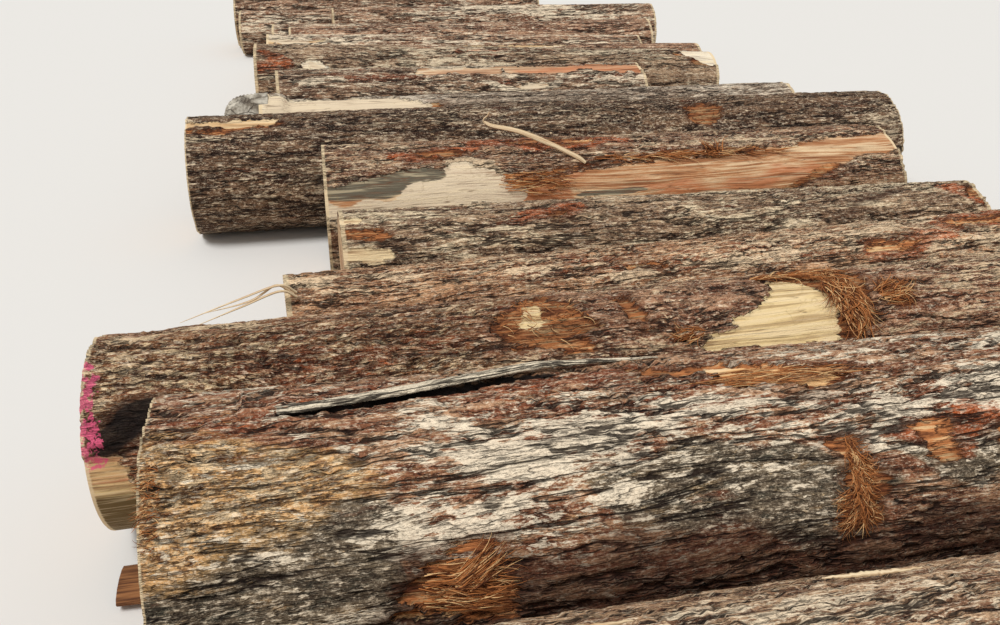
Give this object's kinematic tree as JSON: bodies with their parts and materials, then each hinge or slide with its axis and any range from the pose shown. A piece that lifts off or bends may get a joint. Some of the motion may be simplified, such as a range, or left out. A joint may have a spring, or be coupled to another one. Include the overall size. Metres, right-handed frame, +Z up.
{
  "type": "heap of logs",
  "caption": "Single-layer heap of rough hardwood sawlogs lying side by side with bark on, ends staggered, some with peeled patches.",
  "frame": {"origin": "on the ground, under the middle of the heap", "axes": "+X along the logs, +Y along the row away from the nearest log, +Z up"},
  "size_m": [4.2826, 9.0196, 0.6995],
  "materials": {
    "bark": "rough ridged hardwood bark with lichen and torn patches of orange inner bark",
    "sawn_end": "rough-sawn end grain with growth rings and pink paint marks",
    "bare_wood": "fresh sapwood and stringy inner bark where the bark is off"
  },
  "bodies": {
    "root": {"log_01": "bark", "log_02": "bark", "log_03": "bark", "log_04": "bark", "log_05": "bark", "log_06": "bark", "log_07": "bark", "log_08": "bark", "log_09": "bark", "log_10": "bark", "log_11": "bark", "log_12": "bark", "log_13": "bark", "log_14": "bark", "log_15": "bark", "log_16": "bark", "log_17": "bark"}
  },
  "joints": []
}
